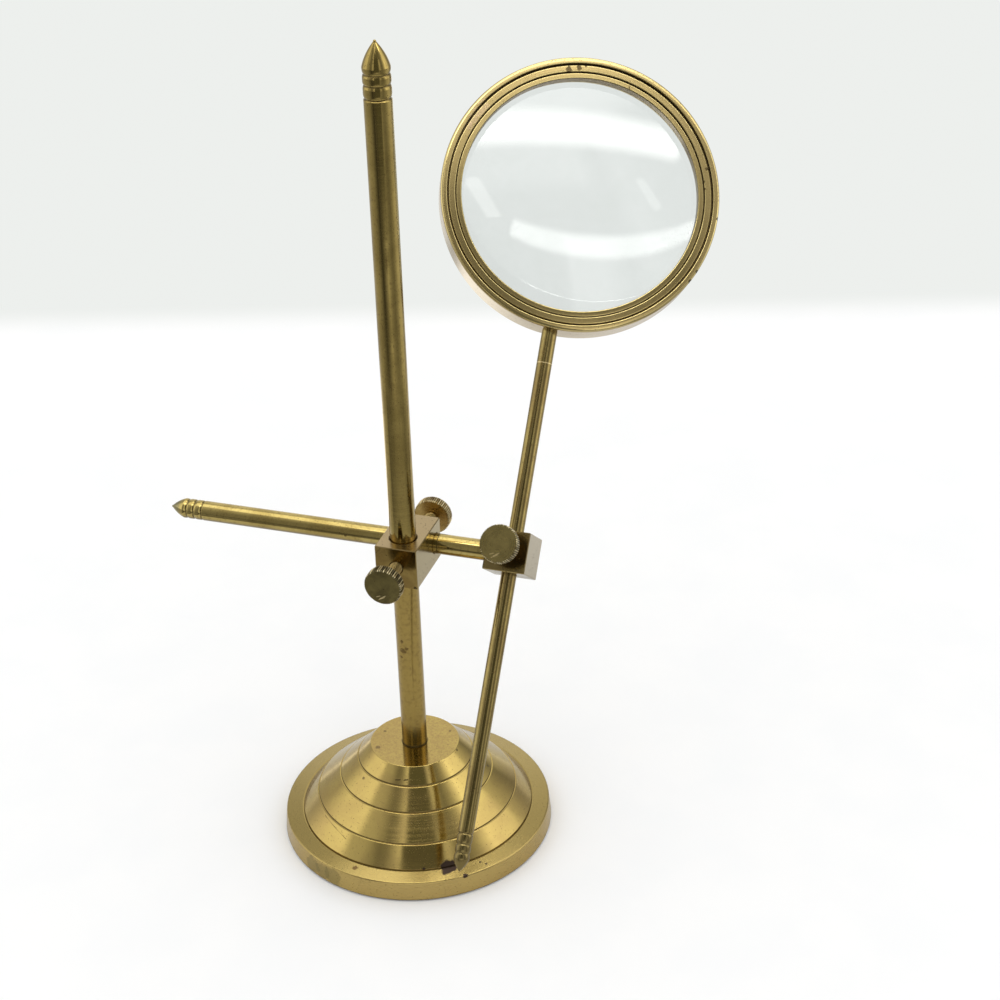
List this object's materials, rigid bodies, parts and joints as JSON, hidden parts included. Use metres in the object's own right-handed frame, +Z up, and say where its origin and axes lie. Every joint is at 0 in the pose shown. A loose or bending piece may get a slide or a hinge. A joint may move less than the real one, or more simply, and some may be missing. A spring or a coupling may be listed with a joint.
{
  "type": "magnifying glass on stand",
  "caption": "Large round magnifying lens in a brass ring mount, carried by a leaning rod, a cross arm and a pole on a stepped bell base, with knurled clamping thumbscrews.",
  "frame": {"origin": "on the table under the pole's axis, at the middle of the felt's underside", "axes": "+Z up along the pole, +X along the arm towards the lens, front at -Y, the lens leans back to +Y"},
  "size_m": [0.2386, 0.242, 0.3886],
  "materials": {
    "base_brass": "polished, tarnished",
    "pole_brass": "polished",
    "block_brass": "polished, worn",
    "dark_brass": "satin, darkened",
    "ring_brass": "satin, tarnished",
    "knob_brass": "matt, darkened",
    "steel": "dull",
    "felt": "felt",
    "glass": "clear"
  },
  "bodies": {
    "base": {"base_shell": "base_brass", "base_felt": "felt"},
    "pole": {"pole": "pole_brass", "pole_washer": "steel", "pole_nut": "steel"},
    "cross_block": {"cross_block": "block_brass"},
    "arm": {"arm_rod": "pole_brass"},
    "end_block": {"end_block": "block_brass"},
    "lens_rod": {"lens_rod": "dark_brass"},
    "lens": {"lens_frame": "ring_brass", "lens_cell": "ring_brass", "retaining_ring": "ring_brass", "lens": "glass"},
    "pole_screw": {"pole_screw": "dark_brass"},
    "pole_knob": {"pole_knob": "knob_brass"},
    "arm_screw": {"arm_screw": "dark_brass"},
    "arm_knob": {"arm_knob": "knob_brass"},
    "lens_screw": {"lens_screw": "dark_brass"},
    "lens_knob": {"lens_knob": "knob_brass"}
  },
  "joints": [
    {"name": "pole_swivel", "type": "hinge", "parent": "base", "child": "pole", "pos_m": [0, 0, 0], "axis": [0, 0, 1], "continuous": true},
    {"name": "block_slide", "type": "slide", "parent": "pole", "child": "cross_block", "axis": [0, 0, 1], "range_m": [-0.005, 0.195]},
    {"name": "arm_slide", "type": "slide", "parent": "cross_block", "child": "arm", "axis": [1, 0, 0], "range_m": [-0.026, 0.09]},
    {"name": "lens_tilt", "type": "hinge", "parent": "arm", "child": "end_block", "pos_m": [0, 0.015, 0.1484], "axis": [-1, 0, 0], "range_deg": [-7.5, 75]},
    {"name": "rod_slide", "type": "slide", "parent": "end_block", "child": "lens_rod", "axis": [0, 0.6088, 0.7934], "range_m": [-0.005, 0.11]},
    {"name": "lens_swivel", "type": "hinge", "parent": "lens_rod", "child": "lens", "pos_m": [0.0472, 0.015, 0.1484], "axis": [0, 0.6088, 0.7934], "continuous": true},
    {"name": "pole_feed", "type": "slide", "parent": "cross_block", "child": "pole_screw", "axis": [0, -1, 0], "range_m": [0, 0.00201]},
    {"name": "pole_turn", "type": "hinge", "parent": "pole_screw", "child": "pole_knob", "pos_m": [0, 0, 0.1484], "axis": [0, -1, 0], "range_deg": [0, 720]},
    {"name": "arm_feed", "type": "slide", "parent": "cross_block", "child": "arm_screw", "axis": [0, 1, 0], "range_m": [0, 0.00201]},
    {"name": "arm_turn", "type": "hinge", "parent": "arm_screw", "child": "arm_knob", "pos_m": [0, 0.015, 0.1484], "axis": [0, 1, 0], "range_deg": [0, 720]},
    {"name": "lens_feed", "type": "slide", "parent": "end_block", "child": "lens_screw", "axis": [0, -0.7934, 0.6088], "range_m": [0, 0.00201]},
    {"name": "lens_turn", "type": "hinge", "parent": "lens_screw", "child": "lens_knob", "pos_m": [0.0472, 0.01579, 0.14943], "axis": [0, -0.7934, 0.6088], "range_deg": [0, 720]}
  ],
  "couplings": [
    {"joint": "pole_feed", "follows": "pole_turn", "m_per_rad": 0.00015915},
    {"joint": "arm_feed", "follows": "arm_turn", "m_per_rad": 0.00015915},
    {"joint": "lens_feed", "follows": "lens_turn", "m_per_rad": 0.00015915}
  ]
}
